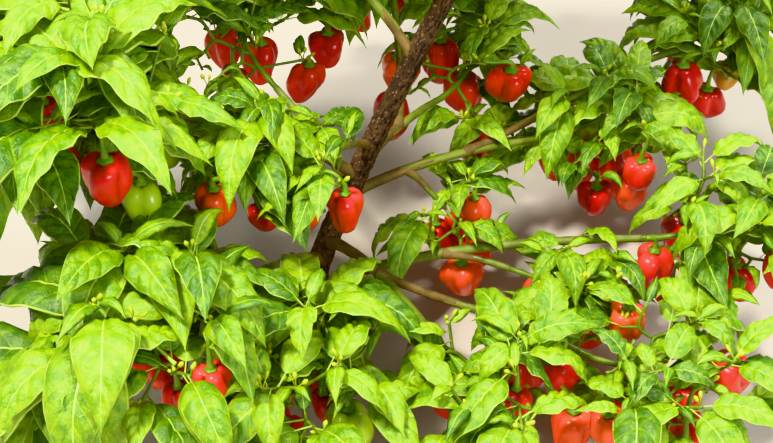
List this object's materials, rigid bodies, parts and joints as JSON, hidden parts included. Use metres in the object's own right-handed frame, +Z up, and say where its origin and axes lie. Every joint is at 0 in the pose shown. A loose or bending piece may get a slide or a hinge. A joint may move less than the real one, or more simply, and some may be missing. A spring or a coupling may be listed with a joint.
{
  "type": "chilli pepper plant",
  "caption": "Bushy chilli pepper plant with a leaning woody stem, spreading green boughs, leafy masses and lantern-shaped hanging fruit.",
  "frame": {"origin": "centre of the flat cut under the main stem, at ground level", "axes": "+Z up, +X to the right and +Y away from the viewer of the pictured side"},
  "size_m": [0.9011, 0.8236, 0.6379],
  "materials": {
    "bark": "rough grey-brown bark",
    "green_stem": "smooth green young wood",
    "foliage": "glossy puckered leaves"
  },
  "bodies": {
    "root": {"trunk": "bark", "bough_left_high": "green_stem", "bough_left_low": "green_stem", "bough_left_back": "green_stem", "bough_centre_left": "green_stem", "bough_front": "green_stem", "bough_front_right": "green_stem", "bough_right_front": "green_stem", "bough_right_low": "green_stem", "bough_right": "green_stem", "bough_back_right": "green_stem", "bough_back_far": "green_stem", "bough_centre_right": "green_stem", "bough_back_near": "green_stem", "bough_back_left": "green_stem", "bough_back": "green_stem", "bough_top_left": "green_stem", "bough_top_front": "green_stem", "bough_top_right": "green_stem", "bough_top_back": "green_stem", "leaves_left_high": "foliage", "leaves_left_low": "foliage", "leaves_left_back": "foliage", "leaves_centre_left": "foliage", "leaves_front": "foliage", "leaves_front_right": "foliage", "leaves_right_front": "foliage", "leaves_right_low": "foliage", "leaves_right": "foliage", "leaves_back_right": "foliage", "leaves_back_far": "foliage", "leaves_centre_right": "foliage", "leaves_back_near": "foliage", "leaves_back_left": "foliage", "leaves_back": "foliage", "leaves_top_left": "foliage", "leaves_top_front": "foliage", "leaves_top_right": "foliage", "leaves_top_back": "foliage"}
  },
  "joints": []
}
